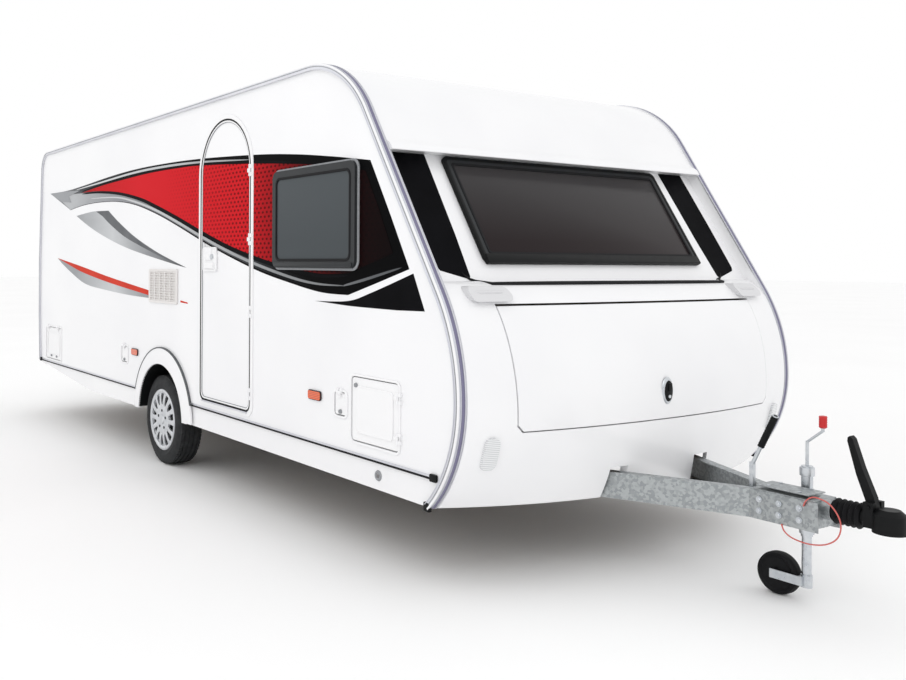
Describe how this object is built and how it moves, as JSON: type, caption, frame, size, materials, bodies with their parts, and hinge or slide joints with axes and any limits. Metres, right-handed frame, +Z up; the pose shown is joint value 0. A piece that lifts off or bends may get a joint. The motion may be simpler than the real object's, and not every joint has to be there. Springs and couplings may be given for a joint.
{
  "type": "travel caravan",
  "caption": "Single-axle travel caravan with rounded sloping front, arched entrance door, front gas locker, A-frame drawbar with overrun coupling and jockey wheel.",
  "frame": {"origin": "on the ground, under the middle of the whole length and width", "axes": "+X forward towards the tow ball, +Y to the left side, +Z up"},
  "size_m": [7.602, 2.5, 2.648],
  "materials": {
    "white_wall": "gloss white skins of the sandwich panels",
    "white_moulding": "gloss white moulded panels",
    "white_door": "gloss white doors and hatches",
    "rooflight_acrylic": "milky acrylic",
    "vent_plastic": "satin white moulded plastic",
    "handle_plastic": "satin light grey moulded plastic",
    "rail_aluminium": "satin anodised",
    "galvanised_steel": "hot-dip galvanised",
    "zinc_tube": "bright zinc plated",
    "tyre_rubber": "worn satin rubber",
    "wheel_silver": "silver lacquer",
    "floor_plywood": "sealed plywood",
    "frame_plastic": "dark grey satin frame",
    "smoked_acrylic": "smoked acrylic",
    "lamp_red": "clear red lens",
    "lamp_clear": "clear lens",
    "lamp_amber": "amber lens",
    "rubber_bellows": "matt black rubber",
    "black_plastic": "satin black",
    "jockey_rubber": "matt black solid rubber",
    "cable_sheath": "thin red sheath"
  },
  "bodies": {
    "trailer": {"chassis_rail_right": "galvanised_steel", "chassis_rail_left": "galvanised_steel", "cross_members": "galvanised_steel", "drawbar_right": "galvanised_steel", "drawbar_left": "galvanised_steel", "axle_beam": "galvanised_steel", "floor_panel": "floor_plywood", "side_wall_right": "white_wall", "side_wall_left": "white_wall", "rear_wall": "white_wall", "roof_panel": "white_wall", "front_cap": "white_moulding", "front_window_panel": "white_moulding", "nose_panel": "white_moulding", "locker_bulkhead": "floor_plywood", "skirt_right": "white_moulding", "skirt_left": "white_moulding", "wheel_arch_right": "white_moulding", "wheel_arch_left": "white_moulding", "corner_rail_right": "rail_aluminium", "corner_rail_left": "rail_aluminium", "window_frames": "frame_plastic", "window_panes": "smoked_acrylic", "rooflight_frame": "white_moulding", "vent_grille": "vent_plastic", "rear_lamps": "lamp_red", "rear_bumper": "white_moulding", "grab_handles": "handle_plastic", "front_lamps": "lamp_clear", "side_markers": "lamp_amber", "overrun_housing": "galvanised_steel", "bellows": "rubber_bellows", "coupling_head": "black_plastic", "jockey_outer_tube": "zinc_tube", "steady_brackets": "galvanised_steel", "breakaway_cable": "cable_sheath"},
    "wheel_right": {"tyre_right": "tyre_rubber", "wheel_disc_right": "wheel_silver"},
    "wheel_left": {"tyre_left": "tyre_rubber", "wheel_disc_left": "wheel_silver"},
    "door": {"entrance_door": "white_door"},
    "gas_door": {"gas_hatch": "white_door"},
    "rear_flap": {"rear_hatch": "white_door"},
    "cassette_flap": {"cassette_hatch": "white_door"},
    "mains_cover": {"mains_flap": "white_door"},
    "water_cover": {"water_flap": "white_door"},
    "lid": {"locker_lid": "white_moulding"},
    "rooflight": {"rooflight_lid": "rooflight_acrylic"},
    "jockey_inner": {"jockey_inner_tube": "zinc_tube"},
    "jockey_caster": {"jockey_fork": "zinc_tube"},
    "jockey_roller": {"jockey_wheel": "jockey_rubber"},
    "brake_lever": {"handbrake_lever": "zinc_tube"},
    "coupling_lever": {"stabiliser_lever": "black_plastic"},
    "leg_rear_right": {"steady_rear_right": "galvanised_steel"},
    "leg_rear_left": {"steady_rear_left": "galvanised_steel"},
    "leg_front_right": {"steady_front_right": "galvanised_steel"},
    "leg_front_left": {"steady_front_left": "galvanised_steel"}
  },
  "joints": [
    {"name": "wheel_right_spin", "type": "hinge", "parent": "trailer", "child": "wheel_right", "pos_m": [-0.741, -1.1, 0.325], "axis": [0, 1, 0], "continuous": true},
    {"name": "wheel_left_spin", "type": "hinge", "parent": "trailer", "child": "wheel_left", "pos_m": [-0.741, 1.1, 0.325], "axis": [0, 1, 0], "continuous": true},
    {"name": "door_hinge", "type": "hinge", "parent": "trailer", "child": "door", "pos_m": [0.668, -1.237, 0.575], "axis": [0, 0, 1], "range_deg": [0, 150]},
    {"name": "gas_hatch_hinge", "type": "hinge", "parent": "trailer", "child": "gas_door", "pos_m": [2.141, -1.237, 0.58], "axis": [0, 0, 1], "range_deg": [0, 120]},
    {"name": "rear_hatch_hinge", "type": "hinge", "parent": "trailer", "child": "rear_flap", "pos_m": [-3.276, -1.237, 0.852], "axis": [-1, 0, 0], "range_deg": [0, 100]},
    {"name": "cassette_hatch_hinge", "type": "hinge", "parent": "trailer", "child": "cassette_flap", "pos_m": [-2.101, 1.237, 0.907], "axis": [1, 0, 0], "range_deg": [0, 100]},
    {"name": "mains_flap_hinge", "type": "hinge", "parent": "trailer", "child": "mains_cover", "pos_m": [-1.411, -1.237, 0.817], "axis": [-1, 0, 0], "range_deg": [0, 100]},
    {"name": "water_flap_hinge", "type": "hinge", "parent": "trailer", "child": "water_cover", "pos_m": [1.649, -1.237, 0.812], "axis": [-1, 0, 0], "range_deg": [0, 100]},
    {"name": "locker_lid_hinge", "type": "hinge", "parent": "trailer", "child": "lid", "pos_m": [2.5555, 0, 1.293], "axis": [0, -1, 0], "range_deg": [0, 70]},
    {"name": "rooflight_hinge", "type": "hinge", "parent": "trailer", "child": "rooflight", "pos_m": [-2.857, -0.33, 2.608], "axis": [0, -1, 0], "range_deg": [0, 60]},
    {"name": "jockey_lift", "type": "slide", "parent": "trailer", "child": "jockey_inner", "axis": [0, 0, 1], "range_m": [0, 0.13]},
    {"name": "jockey_swivel", "type": "hinge", "parent": "jockey_inner", "child": "jockey_caster", "pos_m": [3.339, 0.112, 0.1], "axis": [0, 0, 1], "continuous": true},
    {"name": "jockey_wheel_spin", "type": "hinge", "parent": "jockey_caster", "child": "jockey_roller", "pos_m": [3.214, 0.112, 0.095], "axis": [0, 1, 0], "continuous": true},
    {"name": "handbrake_hinge", "type": "hinge", "parent": "trailer", "child": "brake_lever", "pos_m": [3.164, -0.018, 0.4695], "axis": [0, -1, 0], "range_deg": [0, 60]},
    {"name": "stabiliser_hinge", "type": "hinge", "parent": "trailer", "child": "coupling_lever", "pos_m": [3.677, 0, 0.512], "axis": [0, -1, 0], "range_deg": [0, 40]},
    {"name": "steady_rear_right_hinge", "type": "hinge", "parent": "trailer", "child": "leg_rear_right", "pos_m": [-3.441, -0.77, 0.468], "axis": [0, 1, 0], "range_deg": [0, 68]},
    {"name": "steady_rear_left_hinge", "type": "hinge", "parent": "trailer", "child": "leg_rear_left", "pos_m": [-3.441, 0.77, 0.468], "axis": [0, 1, 0], "range_deg": [0, 68]},
    {"name": "steady_front_right_hinge", "type": "hinge", "parent": "trailer", "child": "leg_front_right", "pos_m": [1.859, -0.77, 0.468], "axis": [0, -1, 0], "range_deg": [0, 68]},
    {"name": "steady_front_left_hinge", "type": "hinge", "parent": "trailer", "child": "leg_front_left", "pos_m": [1.859, 0.77, 0.468], "axis": [0, -1, 0], "range_deg": [0, 68]}
  ]
}
